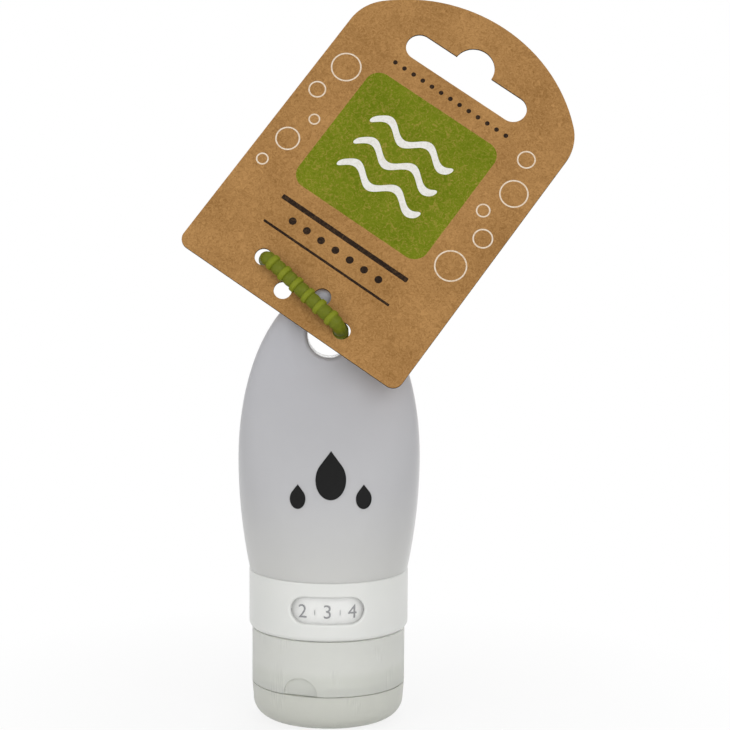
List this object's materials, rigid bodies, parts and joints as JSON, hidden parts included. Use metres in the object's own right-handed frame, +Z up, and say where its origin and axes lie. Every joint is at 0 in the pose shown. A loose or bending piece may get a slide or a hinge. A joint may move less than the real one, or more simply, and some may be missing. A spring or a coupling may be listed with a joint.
{
  "type": "travel squeeze bottle",
  "caption": "Soft silicone squeeze bottle with a hanging loop, a number dial collar, a screw cap with flip lid and slit valve, and a card tag on a beaded tie.",
  "frame": {"origin": "centre of the flip lid's flat end, on which the bottle stands", "axes": "+Z up along the bottle's axis to the hanging loop, -Y towards the front, +X to the right as seen from the front"},
  "size_m": [0.0898, 0.0432, 0.1649],
  "materials": {
    "frosted_cap": "frosted translucent polypropylene",
    "valve_silicone": "matte natural silicone",
    "body_silicone": "matte translucent silicone",
    "band_plastic": "matte white polypropylene with plain numbers",
    "collar_plastic": "satin white polypropylene",
    "lens_clear": "clear polished plastic",
    "tag_card": "uncoated kraft board with a printed panel",
    "tie_silicone": "matte green silicone"
  },
  "bodies": {
    "cap": {"cap_base": "frosted_cap", "slit_valve": "valve_silicone", "hinge_panel": "frosted_cap"},
    "lid": {"flip_lid": "frosted_cap"},
    "seal": {"neck_seal": "valve_silicone"},
    "bottle": {"squeeze_body": "body_silicone", "dial_band": "band_plastic"},
    "collar": {"selector_collar": "collar_plastic", "window_lens": "lens_clear"},
    "tag": {"hang_tag": "tag_card", "tag_tie": "tie_silicone"}
  },
  "joints": [
    {"name": "lid_flip", "type": "hinge", "parent": "cap", "child": "lid", "pos_m": [0.00626, 0.01666, 0.0083], "axis": [0.9361, -0.3518, 0], "range_deg": [0, 180], "deforming": ["hinge_panel"]},
    {"name": "cap_turn", "type": "hinge", "parent": "cap", "child": "seal", "pos_m": [0, 0, 0.0111], "axis": [0, 0, 1], "range_deg": [0, 540]},
    {"name": "cap_travel", "type": "slide", "parent": "seal", "child": "bottle", "axis": [0, 0, 1], "range_m": [0, 0.006]},
    {"name": "collar_turn", "type": "hinge", "parent": "bottle", "child": "collar", "pos_m": [0, 0, 0.0279], "axis": [0, 0, 1], "continuous": true},
    {"name": "tag_swing", "type": "hinge", "parent": "bottle", "child": "tag", "pos_m": [0.0024, 0, 0.0886], "axis": [0, -0.9191, 0.3939], "range_deg": [-25, 35]}
  ],
  "couplings": [
    {"joint": "cap_travel", "follows": "cap_turn", "m_per_rad": 0.0006366}
  ]
}
